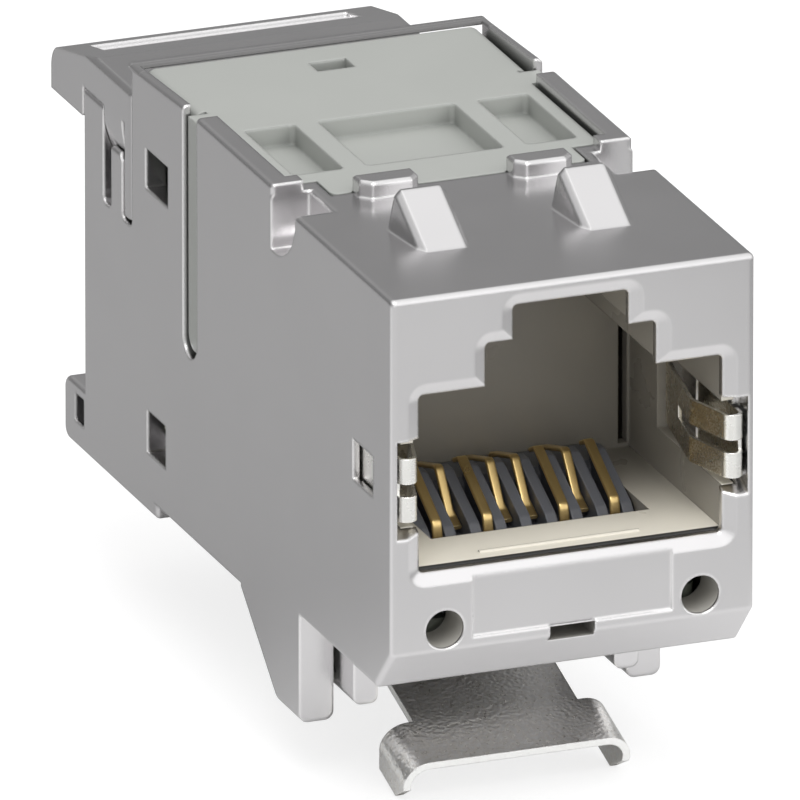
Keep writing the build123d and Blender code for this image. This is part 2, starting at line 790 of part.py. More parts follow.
# Latch spring: the leaf and its folded wings, drawn across the leaf and drawn out along its slope
leaf_plane = Plane(origin=(0, leaf_front, leaf_front_height), x_dir=(-1, 0, 0),
                   z_dir=(0, cos(radians(leaf_slope)), sin(radians(leaf_slope))))
wing_reach = wing_flat + wing_bend
with BuildPart() as latch_spring:
    with BuildSketch(leaf_plane):
        with Locations((0, -leaf_thickness / 2)):
            Rectangle(leaf_width, leaf_thickness)
    extrude(amount=leaf_reach / cos(radians(leaf_slope)))
    with BuildSketch(leaf_plane):
        with BuildLine():
            Line((wing_curl - wing_reach, -wing_depth), (-wing_reach, -wing_bend))
            RadiusArc((-wing_reach, -wing_bend), (-wing_flat, 0), wing_bend)
            Line((-wing_flat, 0), (wing_flat, 0))
            RadiusArc((wing_flat, 0), (wing_reach, -wing_bend), wing_bend)
            Line((wing_reach, -wing_bend), (wing_reach - wing_curl, -wing_depth))
            offset(amount=leaf_thickness, kind=Kind.TANGENT, side=Side.RIGHT)
        make_face()
    extrude(amount=wing_length)
    wing_foot = leaf_front_height - wing_front_depth
    with BuildSketch(Plane.YZ):
        with BuildLine():
            Polyline((leaf_front - wing_bend, wing_foot), (leaf_front, wing_foot),
                     (leaf_front + wing_taper, leaf_front_height - wing_depth + wing_tip_rise),
                     (leaf_front + wing_taper, wing_foot - 2 * wing_depth),
                     (leaf_front - wing_bend, wing_foot - 2 * wing_depth), close=True)
        make_face()
    extrude(amount=wing_reach + wing_bend, both=True, mode=Mode.SUBTRACT)

latch_spring.part.label = "latch_spring"
export_step(latch_spring.part, "parts/latch_spring.step")

# Where the cutting terminals stand: two rows along the sides
terminal_places = [(side * terminal_offset, terminal_first + i * terminal_pitch)
                   for side in (-1, 1) for i in range(terminals_per_row)]
pin_places = [(place, front_leg if rises else back_leg) for place, rises in zip(contact_places, rising)]

# Circuit board, with a hole for each contact and terminal
with BuildPart() as circuit_board:
    with BuildSketch(Plane.XY.offset(board_bottom)) as board_plan:
        with Locations((0, (board_front + board_back) / 2)):
            Rectangle(board_width, board_back - board_front)
        fillet(board_plan.vertices(), board_corner)
        with Locations(*pin_places, *terminal_places):
            RegularPolygon(pin_hole_radius, pin_hole_sides, mode=Mode.SUBTRACT)
    extrude(amount=board_thickness)

circuit_board.part.label = "circuit_board"
export_step(circuit_board.part, "parts/circuit_board.step")

# Terminal block: it stands on the board, holds the terminals and guides each wire across them
with BuildPart() as idc_block:
    trough = idc_width / 2 - idc_trough_inset
    trough_floor = idc_top - idc_trough_depth
    with BuildSketch(Plane.XZ.offset(-idc_front)):
        with BuildLine():
            Polyline((-idc_width / 2, idc_foot), (idc_width / 2, idc_foot), (idc_width / 2, idc_top),
                     (trough, idc_top), (trough - idc_trough_slope, trough_floor),
                     (idc_trough_slope - trough, trough_floor), (-trough, idc_top), (-idc_width / 2, idc_top),
                     close=True)
        make_face()
    extrude(amount=idc_front - idc_back)
    slot_half = terminal_thickness / 2 + seat_gap
    blade_half = terminal_width / 2 + seat_gap
    for x, y in terminal_places:
        block((x - slot_half, x + slot_half), (y - blade_half, y + blade_half), (idc_foot, idc_top))
        block((x - wire_channel_reach, x + wire_channel_reach),
              (y - wire_channel_width / 2, y + wire_channel_width / 2), (idc_top - wire_channel_depth, idc_top))
    block((-idc_width / 2, idc_width / 2), (terminal_first + terminals_per_row * terminal_pitch, idc_back),
          (trough_floor, idc_top))
    nub_top = cavity_floor + idc_window_height - slip_gap
    block_pair((idc_width / 2 - seat_gap, half_width - shoulder_wall),
               (idc_window[0] + slip_gap, idc_window[0] + nub_length), (idc_foot, nub_top), mode=Mode.ADD)

idc_block.part.label = "idc_block"
export_step(idc_block.part, "parts/idc_block.step")

# Cutting terminals: forked blades with a narrow tail through the board
half_fork = terminal_fork / 2
half_blade = terminal_width / 2
half_tail = terminal_tail / 2
for number, (x, y) in enumerate(terminal_places, start=1):
    with BuildPart() as terminal:
        with BuildSketch(Plane.YZ.offset(x - terminal_thickness / 2)):
            with BuildLine():
                right = [(half_tail, pin_end), (half_tail, idc_foot), (half_blade, idc_foot),
                         (half_blade, terminal_top), (half_fork + terminal_throat, terminal_top),
                         (half_fork, terminal_top - terminal_throat_depth),
                         (half_fork, terminal_top - terminal_fork_depth)]
                left = [(-across, z) for across, z in reversed(right)]
                Polyline(*[(y + across, z) for across, z in right + left], close=True)
            make_face()
        extrude(amount=terminal_thickness)
    terminal.part.label = f"idc_terminal_{number}"
    export_step(terminal.part, f"parts/idc_terminal_{number}.step")

# Stuffer cap: a moulded block with round shoulders, slots for the blades below and pockets above
with BuildPart() as stuffer_cap:
    with BuildSketch(Plane.XY.offset(cover_foot)):
        with Locations((0, (cover_front + cover_back) / 2)):
            Rectangle(2 * cover_half, cover_back - cover_front)
    extrude(amount=top - cover_foot)
    shoulder_front = groove_end + slip_gap
    with BuildSketch(Plane.XY.offset(top - shoulder_drop + seat_gap)):
        with Locations((0, (shoulder_front + cover_back) / 2)):
            Rectangle(2 * (half_width - shoulder_wall - slip_gap), cover_back - shoulder_front)
    extrude(amount=shoulder_drop - seat_gap)
    shoulders = stuffer_cap.edges().filter_by(Axis.Y).sort_by(Axis.Z)
    fillet(shoulders.group_by(Axis.X)[0].sort_by(Axis.Z)[-1], cover_rim)
    fillet(shoulders.group_by(Axis.X)[-1].sort_by(Axis.Z)[-1], cover_rim)
    with BuildSketch(Plane.XY.offset(top - tongue_depth)) as cover_tongue:
        with Locations((0, (cover_tongue_front + cover_front + cover_setback) / 2)):
            Rectangle(2 * tongue_half, cover_front + cover_setback - cover_tongue_front)
        fillet(cover_tongue.vertices().group_by(Axis.Y)[0], tongue_corner)
        with Locations((-stop_offset, stop_middle), (stop_offset, stop_middle)):
            RectangleRounded(stop_width + 2 * slip_gap, stop_length + 2 * slip_gap, tongue_corner,
                             mode=Mode.SUBTRACT)
    extrude(amount=tongue_depth)
    arm_half = groove_width / 2 - slip_gap
    arm_centre = groove_floor + arm_gap + arm_half
    for side in (1, -1):
        with BuildSketch(Plane.YZ.offset(side * (cover_half - arm_root))):
            with BuildLine():
                Line((groove_middle - arm_half, top), (groove_middle - arm_half, arm_centre))
                ThreePointArc((groove_middle - arm_half, arm_centre), (groove_middle, arm_centre - arm_half),
                              (groove_middle + arm_half, arm_centre))
                Polyline((groove_middle + arm_half, arm_centre), (groove_middle + arm_half, top),
                         (groove_middle - arm_half, top))
            make_face()
        extrude(amount=side * (half_width - arm_recess - cover_half + arm_root))
    pocket_front = cover_front + pocket_setback
    side_pocket = (cover_half - pocket_margin - side_pocket_width, cover_half - pocket_margin)
    for low, high in (side_pocket, (-side_pocket[1], -side_pocket[0]),
                      (-middle_pocket_width / 2, middle_pocket_width / 2)):
        with BuildSketch(Plane.XY.offset(top)):
            with Locations(((low + high) / 2, pocket_front + pocket_length / 2)):
                RectangleRounded(high - low, pocket_length, pocket_radius)
        extrude(amount=-pocket_depth, mode=Mode.SUBTRACT)
    block((-peep_width / 2, peep_width / 2),
          (cover_front + peep_setback, cover_front + peep_setback + peep_length), (cover_foot, top))
    block((-cover_room / 2, cover_room / 2), (cover_front + cover_wall, cover_back),
          (cover_foot, top - pocket_depth - cover_skin))
    for x, y in terminal_places:
        block((x - slot_half - slip_gap, x + slot_half + slip_gap),
              (y - half_blade - slip_gap, y + half_blade + slip_gap), (cover_foot, terminal_top + slip_gap))
    block_pair((cover_half - catch_depth, cover_half), (cover_window[0] - slip_gap, cover_window[1] + slip_gap),
               (cover_window_low - slip_gap, cover_window_low + cover_window_height + slip_gap))

stuffer_cap.part.label = "stuffer_cap"
export_step(stuffer_cap.part, "parts/stuffer_cap.step")

# Rear cap: a hooded plate over the cable, with an arch under it and two legs in the side slots
with BuildPart() as rear_cap:
    with BuildSketch(Plane.YZ.offset(-half_width)) as hood:
        with BuildLine():
            Polyline((rail_end + seat_gap, cap_low), (rail_end + seat_gap, cap_top), (cap_flat_end, cap_top),
                     (cap_back, cap_top - (cap_back - cap_flat_end) * cap_fall),
                     (cap_back, strip_top - cap_flange_fall),
                     (body_end + seat_gap, strip_top - cap_flange_fall), (body_end + seat_gap, cap_low),
                     close=True)
        make_face()
        fillet(hood.vertices().group_by(Axis.X)[-1].sort_by(Axis.Y)[-1], cap_round)
    extrude(amount=half_width + cap_right)
    chamfer(rear_cap.faces().sort_by(Axis.X)[0].edges().group_by(Axis.Z)[-1], cap_edge)
    chamfer(rear_cap.faces().sort_by(Axis.X)[-1].edges().group_by(Axis.Z)[-1], cap_edge)
    arch_left = slip_gap - rear_left_inner
    with BuildSketch(Plane.XZ.offset(-tongue_front - slip_gap)):
        with Locations(((arch_left + cap_right) / 2, (cable_height + slip_gap + cap_low + seat_gap) / 2)):
            Rectangle(cap_right - arch_left, cap_low + seat_gap - cable_height - slip_gap)
        with Locations((0, cable_height)):
            Circle(cable_radius, mode=Mode.SUBTRACT)
    extrude(amount=tongue_front + slip_gap - body_end)
    block((-half_width, cap_leg_thickness - half_width), (rail_end + seat_gap, tongue_front - slip_gap),
          (slot_floor + cap_leg_gap, cap_low + seat_gap), mode=Mode.ADD)
    leg_edges = rear_cap.faces().filter_by(Axis.X).sort_by(Axis.X)[0].edges().filter_by(Axis.Z)
    fillet(leg_edges.filter_by_position(Axis.Y, rail_end, tongue_front), cap_leg_round)
    curve_foot = strip_top - cap_curve_drop
    with BuildSketch(Plane.XZ.offset(-tongue_front)):
        with BuildLine():
            leg_root = arch_left + cap_edge
            Polyline((leg_root, cap_low + seat_gap), (-half_width, cap_low + seat_gap), (-half_width, cap_low))
            TangentArc((-half_width, cap_low), (cap_curve_reach - half_width, curve_foot), tangent=(0, -1))
            Polyline((cap_curve_reach - half_width, curve_foot), (leg_root, curve_foot),
                     (leg_root, cap_low + seat_gap))
        make_face()
    extrude(amount=tongue_front - strip_front + slip_gap)
    block((-half_width, leg_root + slip_gap), (tongue_front - slip_gap, tongue_end + slip_gap),
          (curve_foot, tongue_top + slip_gap))
    trench_front = body_end + trench_setback
    trench_floor = cap_top - cap_slope_fall - trench_depth
    with BuildSketch(Plane.YZ.offset(trench_left_inset - half_width)):
        with BuildLine():
            Polyline((trench_front, cap_top), (trench_front, trench_floor),
                     (trench_front + trench_length - trench_slope, trench_floor),
                     (trench_front + trench_length, cap_top), close=True)
        make_face()
    extrude(amount=cap_right - trench_right_inset + half_width - trench_left_inset, mode=Mode.SUBTRACT)

rear_cap.part.label = "rear_cap"
export_step(rear_cap.part, "parts/rear_cap.step")
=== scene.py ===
"""Looks of the keystone jack: finishes, spring contacts, floor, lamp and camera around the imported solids."""

import logging
import math
from dataclasses import dataclass
from enum import Enum
from typing import Any, Sequence

import bpy
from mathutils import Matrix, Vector


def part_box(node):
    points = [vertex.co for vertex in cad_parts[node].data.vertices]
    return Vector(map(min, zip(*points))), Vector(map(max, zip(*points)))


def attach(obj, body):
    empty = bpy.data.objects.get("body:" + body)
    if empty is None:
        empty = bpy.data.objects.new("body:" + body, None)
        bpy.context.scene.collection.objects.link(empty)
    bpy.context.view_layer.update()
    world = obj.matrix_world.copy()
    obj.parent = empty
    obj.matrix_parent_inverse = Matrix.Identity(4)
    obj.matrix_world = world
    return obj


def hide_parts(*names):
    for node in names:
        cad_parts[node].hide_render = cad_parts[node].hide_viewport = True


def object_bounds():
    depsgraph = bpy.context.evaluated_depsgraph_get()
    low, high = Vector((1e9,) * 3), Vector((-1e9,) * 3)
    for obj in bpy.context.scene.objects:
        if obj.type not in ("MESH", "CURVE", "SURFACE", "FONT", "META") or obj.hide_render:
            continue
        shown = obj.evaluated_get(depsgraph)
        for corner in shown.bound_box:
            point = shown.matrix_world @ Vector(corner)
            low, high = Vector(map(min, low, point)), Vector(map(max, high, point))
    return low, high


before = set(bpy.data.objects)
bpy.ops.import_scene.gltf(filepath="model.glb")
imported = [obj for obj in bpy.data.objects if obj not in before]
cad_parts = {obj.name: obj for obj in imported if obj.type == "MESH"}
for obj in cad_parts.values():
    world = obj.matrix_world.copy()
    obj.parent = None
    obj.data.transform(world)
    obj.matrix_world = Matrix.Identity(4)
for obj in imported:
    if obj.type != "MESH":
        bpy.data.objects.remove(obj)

CAD_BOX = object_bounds()
MM = 0.001
LOG = logging.getLogger("keystone_jack")

Colour = tuple[float, float, float]
Way = tuple[float, float, float]
Point = tuple[float, float]
Range = tuple[float, float]


def srgb(red: float, green: float, blue: float) -> Colour:
    """Turn a colour of 0 to 255 steps into the linear values that the shaders use.

    Args:
        red: Red step.
        green: Green step.
        blue: Blue step.

    Returns:
        The three linear values.
    """
    def linear(step: float) -> float:
        """Undo the display curve of one channel."""
        value = step / 255
        return value / 12.92 if value <= 0.04045 else ((value + 0.055) / 1.055) ** 2.4

    return linear(red), linear(green), linear(blue)


class Grain(Enum):
    """Kinds of fine surface that a finish may have."""

    CAST = "cast"
    MOULDED = "moulded"
    PEENED = "peened"
    ROLLED = "rolled"
    LAMINATE = "laminate"


class Socket:
    """An output socket of a node tree, with arithmetic that adds the Math nodes it needs."""

    def __init__(self, tree: "Tree", socket: bpy.types.NodeSocket) -> None:
        """Wrap one output socket."""
        self.tree = tree
        self.socket = socket

    def _math(self, operation: str, *values: Any) -> "Socket":
        """Add one Math node.

        Args:
            operation: The node's operation.
            values: Its inputs, in order.

        Returns:
            The node's output.
        """
        return self.tree.node("ShaderNodeMath", {"operation": operation}, dict(enumerate(values)))

    def __add__(self, other: Any) -> "Socket":
        """Add a value."""
        return self._math("ADD", self, other)

    __radd__ = __add__

    def __sub__(self, other: Any) -> "Socket":
        """Take a value away."""
        return self._math("SUBTRACT", self, other)

    def __rsub__(self, other: Any) -> "Socket":
        """Take this from a value."""
        return self._math("SUBTRACT", other, self)

    def __mul__(self, other: Any) -> "Socket":
        """Multiply by a value."""
        return self._math("MULTIPLY", self, other)

    __rmul__ = __mul__

    def ramp(self, low: float, high: float, start: float = 0.0, end: float = 1.0) -> "Socket":
        """Turn a stretch of values smoothly into another.

        Args:
            low: Value at which the result is start.
            high: Value at which the result is end.
            start: Result at low.
            end: Result at high.

        Returns:
            The result, held between start and end.
        """
        return self.tree.node(
            "ShaderNodeMapRange", {"interpolation_type": "SMOOTHSTEP"},
            {"Value": self, "From Min": low, "From Max": high, "To Min": start, "To Max": end})


class Tree:
    """A node tree that is being written."""

    def __init__(self, tree: bpy.types.NodeTree) -> None:
        """Start with an empty tree."""
        self.tree = tree
        self.tree.nodes.clear()

    def node(self, kind: str, settings: dict[str, Any] | None = None, inputs: dict[Any, Any] | None = None,
             output: Any = 0) -> Socket | None:
        """Add one node.

        Args:
            kind: The node's type name.
            settings: Attributes that are set before the sockets.
            inputs: Values or links of its sockets, by name or number.
            output: Name or number of the output that is returned.

        Returns:
            The wanted output, or None for a node that has none.
        """
        made = self.tree.nodes.new(kind)
        for name, value in (settings or {}).items():
            setattr(made, name, value)
        for name, value in (inputs or {}).items():
            if isinstance(value, Socket):
                self.tree.links.new(value.socket, made.inputs[name])
            elif made.inputs[name].type == "RGBA":
                made.inputs[name].default_value = (*value, 1.0)
            else:
                made.inputs[name].default_value = value
        return Socket(self, made.outputs[output]) if made.outputs else None

    def axis(self, vector: Socket, name: str) -> Socket:
        """Take one part of a vector."""
        return self.node("ShaderNodeSeparateXYZ", {}, {0: vector}, output=name)


class Shader(Tree):
    """The tree of a material or of the world."""

    def blend(self, factor: Any, first: Any, second: Any) -> Socket:
        """Mix two colours.

        Args:
            factor: Share of the second, 0 to 1.
            first: First colour.
            second: Second colour.

        Returns:
            The mixed colour.
        """
        return self.node("ShaderNodeMix", {"data_type": "RGBA"}, {0: factor, 6: first, 7: second}, output=2)

    def along(self, vector: Any, way: Any) -> Socket:
        """Tell how far one direction points along another.

        Args:
            vector: First direction.
            way: Second direction.

        Returns:
            Their dot product.
        """
        return self.node("ShaderNodeVectorMath", {"operation": "DOT_PRODUCT"}, {0: vector, 1: way},
                         output="Value")

    def place(self, output: str) -> Socket:
        """Read one output of the texture coordinates, such as the object's own."""
        return self.node("ShaderNodeTexCoord", output=output)

    def noise(self, place: Socket, size: float, detail: float = 2.0, roughness: float = 0.5) -> Socket:
        """Add a noise of a given grain size.

        Args:
            place: Coordinates, in metres.
            size: Grain size in millimetres.
            detail: Number of finer layers.
            roughness: Strength of the finer layers.

        Returns:
            The noise, near 0.5 on average.
        """
        return self.node(
            "ShaderNodeTexNoise", {"noise_dimensions": "3D"},
            {"Vector": place, "Scale": 1 / (size * MM), "Detail": detail, "Roughness": roughness})


class Strip(Tree):
    """Geometry Nodes that sweep a flat strip with round edges along the edges of a mesh."""

    LABELS = ("Width", "Thickness", "Corner", "Bend", "Flare", "Flare start", "Middle")
    BEND_STEPS = 8
    CORNER_STEPS = 4
    PATH_POINTS = 120
    FLARE_RUN = 0.045
    SHARP = math.radians(35)

    def __init__(self, name: str, material: bpy.types.Material) -> None:
        """Write the tree.

        Args:
            name: Its name.
            material: Finish of the strip.
        """
        super().__init__(bpy.data.node_groups.new(name, "GeometryNodeTree"))
        face = self.tree.interface
        face.new_socket("Geometry", in_out="INPUT", socket_type="NodeSocketGeometry")
        self.sizes = {label: face.new_socket(label, in_out="INPUT", socket_type="NodeSocketFloat")
                      for label in self.LABELS}
        face.new_socket("Geometry", in_out="OUTPUT", socket_type="NodeSocketGeometry")
        strip = self.node("GeometryNodeCurveToMesh", {}, {
            "Curve": self._path(), "Profile Curve": self._section(), "Fill Caps": True})
        strip = self.node("GeometryNodeSetPosition", {}, {"Geometry": strip, "Offset": self._flared()})
        strip = self.node("GeometryNodeRealizeInstances", {}, {"Geometry": strip})
        strip = self.node("GeometryNodeSetMaterial", {}, {"Geometry": strip, "Material": material})
        self.node("NodeGroupOutput", {}, {"Geometry": strip})

    def _input(self, label: str) -> Socket:
        """Give one input of the tree."""
        return self.node("NodeGroupInput", output=label)

    def _rounded(self, curve: Socket, steps: int, label: str) -> Socket:
        """Round the corners of a curve.

        Args:
            curve: The curve.
            steps: Pieces of each corner.
            label: Input that holds the radius.

        Returns:
            The rounded curve.
        """
        return self.node("GeometryNodeFilletCurve", {"mode": "POLY"},
                         {"Curve": curve, "Count": steps, "Radius": self._input(label), "Limit Radius": True})

    def _path(self) -> Socket:
        """Turn the mesh into an evenly divided path.

        Returns:
            The path, which holds how far along it each point is.
        """
        path = self.node("GeometryNodeMeshToCurve", {}, {"Mesh": self._input("Geometry")})
        path = self.node("GeometryNodeResampleCurve", {"mode": "COUNT"},
                         {"Curve": self._rounded(path, self.BEND_STEPS, "Bend"), "Count": self.PATH_POINTS})
        along = self.node("GeometryNodeSplineParameter", output="Factor")
        return self.node("GeometryNodeStoreNamedAttribute", {"data_type": "FLOAT", "domain": "POINT"},
                         {"Geometry": path, "Name": "along", "Value": along})

    def _section(self) -> Socket:
        """Draw the section of the strip.

        Returns:
            A rectangle with round corners.
        """
        section = self.node("GeometryNodeCurvePrimitiveQuadrilateral", {"mode": "RECTANGLE"},
                            {"Width": self._input("Width"), "Height": self._input("Thickness")})
        return self._rounded(section, self.CORNER_STEPS, "Corner")

    def _flared(self) -> Socket:
        """Widen the strip towards its end.

        Returns:
            The shift of each point.
        """
        along = self.node("GeometryNodeInputNamedAttribute", {"data_type": "FLOAT"}, {"Name": "along"})
        across = self.axis(self.node("GeometryNodeInputPosition"), "X") - self._input("Middle")
        share = (along - self._input("Flare start")).ramp(0.0, self.FLARE_RUN)
        return self.node("ShaderNodeCombineXYZ", {}, {"X": across * share * self._input("Flare")})

    def sweep(self, name: str, points: Sequence[Vector], sizes: dict[str, float]) -> bpy.types.Object:
        """Make one strip as a plain mesh.

        Args:
            name: Name of the piece.
            points: Points of its middle line, in metres.
            sizes: Values of the tree's inputs.

        Returns:
            The piece.
        """
        line = bpy.data.meshes.new(f"{name}_line")
        line.from_pydata(points, [(i, i + 1) for i in range(len(points) - 1)], [])
        piece = bpy.data.objects.new(name, line)
        bpy.context.scene.collection.objects.link(piece)
        modifier = piece.modifiers.new("strip", "NODES")
        modifier.node_group = self.tree
        for label, value in sizes.items():
            modifier[self.sizes[label].identifier] = value
        evaluated = piece.evaluated_get(bpy.context.evaluated_depsgraph_get())
        mesh = bpy.data.meshes.new_from_object(evaluated)
        piece.modifiers.remove(modifier)
        piece.data = mesh
        mesh.name = name
        mesh.shade_smooth()
        mesh.set_sharp_from_angle(angle=self.SHARP)
        return piece


@dataclass(frozen=True)
class DepthShade:
    """Painted shade: the colour darkens from the front backwards, in millimetres, with specks of the painted
    shade on inner sides.
    """

    start: float
    end: float
    colour: Colour
    speckle: Colour | None = None
    speck_size: float = 0.07
    speck_range: Range = (0.38, 0.62)
    inner_run: float = 2.0

    def over(self, shader: Shader, place: Socket, base: Socket, outer: Colour) -> Socket:
        """Lay the painted depth shade over a colour.

        Args:
            shader: Tree that is written.
            place: Object coordinates.
            base: Colour in front.
            outer: Colour of the outer side where there are specks.

        Returns:
            The colour with its painted shade.
        """
        # Painted shade deeper in: the colour turns to the shade colour, with mottled specks on inner sides.
        inner = self.colour
        if self.speckle is not None:
            specks = shader.noise(place, self.speck_size, 1.0).ramp(*self.speck_range)
            sideways = shader.axis(shader.place("Normal"), "X")
            inwards = (0 - sideways * shader.axis(place, "X")).ramp(0.0, self.inner_run * MM)
            inner = shader.blend(inwards, outer, shader.blend(specks, inner, self.speckle))
        return shader.blend(shader.axis(place, "Y").ramp(self.start * MM, self.end * MM), base, inner)


@dataclass(frozen=True)
class PaintedFacet:
    """Faces that look one way and get a flat, non-metal colour: a painted highlight where it is lighter than
    the finish, painted shade where it is darker.
    """

    way: Way
    colour: Colour
    spread: Range = (0.6, 0.9)

    def share(self, shader: Shader) -> Socket:
        """Mark those faces with one, and the others with nought."""
        return shader.along(shader.place("Normal"), self.way).ramp(*self.spread)


@dataclass(frozen=True)
class ShadeBox:
    """A box, in millimetres, inside which the surface gets a flat, non-metal colour of painted shade."""

    x: Range
    y: Range
    z: Range
    colour: Colour
    soft: float = 0.03

    def share(self, shader: Shader, place: Socket) -> Socket:
        """Mark the inside of the box.

        Args:
            shader: Tree that is written.
            place: Object coordinates.

        Returns:
            One inside it, nought outside.
        """
        share = 1.0
        for name, (low, high) in zip("XYZ", (self.x, self.y, self.z)):
            along = shader.axis(place, name)
            share = along.ramp((low - self.soft) * MM, (low + self.soft) * MM) * share
            share = along.ramp((high - self.soft) * MM, (high + self.soft) * MM, 1.0, 0.0) * share
        return share


@dataclass(frozen=True)
class Finish:
    """A finish for one kind of piece. Sizes are in millimetres."""

    name: str
    colour: Colour
    roughness: float
    metallic: float = 0.0
    grain: Grain = Grain.MOULDED
    grain_size: float = 0.12
    grain_depth: float = 0.004
    edge_round: float = 0.08
    # Painted highlight along the rounded edges.
    edge_highlight: Colour | None = None
    edge_range: Range = (0.004, 0.12)
    edge_share: float = 0.8
    edge_polish: float = 0.25
    # Painted shade in hollows, found by ambient occlusion.
    hollow_shade: Colour | None = None
    hollow_reach: float = 0.8
    hollow_full: float = 0.05
    hollow_start: float = 0.45
    # Painted shade deeper in, painted light or shade on faces that look one way, and painted shade inside
    # boxes.
    depth_shade: DepthShade | None = None
    facet: PaintedFacet | None = None
    shade_boxes: tuple[ShadeBox, ...] = ()
    mottle: float = 0.05
    mottle_size: float = 2.5
    mottle_range: Range = (0.3, 0.7)
    smear: float = 0.04
    coat: float = 0.0
    coat_roughness: float = 0.15
    drawn_stretch: float = 0.05
    weave_size: float = 1.6
    weave_share: float = 0.4

    def material(self) -> bpy.types.Material:
        """Build the node material of this finish.

        Returns:
            The material.
        """
        made = bpy.data.materials.new(self.name)
        made.use_nodes = True
        shader = Shader(made.node_tree)
        place = shader.place("Object")
        rounded = shader.node("ShaderNodeBevel", {"samples": 6}, {"Radius": self.edge_round * MM})
        straight = shader.node("ShaderNodeNewGeometry", output="Normal")
        edge = (1 - shader.along(rounded, straight)).ramp(*self.edge_range)
        cloud = shader.noise(place, self.mottle_size, 3.0)
        # Faces with painted light or shade, and boxes with painted shade, get no metal.
        painted_share = self.facet.share(shader) if self.facet is not None else 0.0
        colour = self._colour(shader, place, cloud, edge, painted_share)
        # Painted shade inside each box.
        for shade_box in self.shade_boxes:
            inside = shade_box.share(shader, place)
            colour = shader.blend(inside, colour, shade_box.colour)
            painted_share = inside + painted_share
        smeared = (cloud - 0.5) * (4 * self.smear) + self.roughness
        surface = shader.node("ShaderNodeBsdfPrincipled", {}, {
            "Base Color": colour, "Roughness": smeared - edge * (self.edge_polish * self.roughness),
            "Metallic": (1 - painted_share) * self.metallic, "Normal": self._bump(shader, place, rounded),
            "Coat Weight": self.coat, "Coat Roughness": self.coat_roughness})
        shader.node("ShaderNodeOutputMaterial", {}, {"Surface": surface})
        return made

    def _colour(self, shader: Shader, place: Socket, cloud: Socket, edge: Socket,
                facet: Socket | float) -> Socket:
        """Vary the colour over the surface, with painted highlights on edges and painted shade in hollows and
        deeper in.

        Args:
            shader: Tree that is written.
            place: Object coordinates.
            cloud: Slow noise.
            edge: Edge mask, which also places the painted edge highlight.
            facet: Mask of the faces that get the facet's painted light or shade.

        Returns:
            The base colour.
        """
        darker = tuple(part * (1 - self.mottle) for part in self.colour)
        lighter = tuple(min(1.0, part * (1 + self.mottle)) for part in self.colour)
        base = shader.blend(cloud.ramp(*self.mottle_range), darker, lighter)
        # Painted shade deeper in.
        if self.depth_shade is not None:
            base = self.depth_shade.over(shader, place, base, self.colour)
        # Painted light or shade on faces that look one way.
        if self.facet is not None:
            base = shader.blend(facet, base, self.facet.colour)
        # Painted highlight along the edges.
        if self.edge_highlight is not None:
            base = shader.blend(edge * self.edge_share, base, self.edge_highlight)
        if self.hollow_shade is None:
            return base
        # Painted shade where ambient occlusion finds a hollow.
        open_share = shader.node("ShaderNodeAmbientOcclusion", {"samples": 8},
                                 {"Distance": self.hollow_reach * MM}, output="AO")
        return shader.blend(open_share.ramp(self.hollow_full, self.hollow_start, 1.0, 0.0), base, self.hollow_shade)

    def _height(self, shader: Shader, place: Socket) -> Socket:
        """Draw the fine relief of this kind of surface.

        Args:
            shader: Tree that is written.
            place: Object coordinates.

        Returns:
            The height of each spot, 0 to 1.
        """
        if self.grain is Grain.ROLLED:
            stretch = (1.0, self.drawn_stretch, self.drawn_stretch)
            drawn = shader.node("ShaderNodeMapping", {}, {"Vector": place, "Scale": stretch})
            return shader.noise(drawn, self.grain_size, 2.0)
        if self.grain is Grain.CAST:
            return shader.noise(place, self.grain_size, 2.0)
        if self.grain is Grain.PEENED:
            return shader.noise(place, self.grain_size, 0.0)
        if self.grain is Grain.LAMINATE:
            weave = shader.node("ShaderNodeTexBrick", {}, {
                "Vector": place, "Scale": 1 / (self.weave_size * MM), "Color1": (0, 0, 0),
                "Color2": (1, 1, 1)}, output="Fac")
            return weave * self.weave_share + shader.noise(place, self.grain_size, 1.0)
        return shader.noise(place, self.grain_size, 3.0, 0.6)

    def _bump(self, shader: Shader, place: Socket, normal: Socket) -> Socket:
        """Raise the fine relief of the surface.

        Args:
            shader: Tree that is written.
            place: Object coordinates.
            normal: Normal that the relief stands on.

        Returns:
            The bumped normal.
        """
        return shader.node("ShaderNodeBump", {}, {
            "Height": self._height(shader, place), "Strength": 1.0, "Distance": self.grain_depth * MM,
            "Normal": normal})


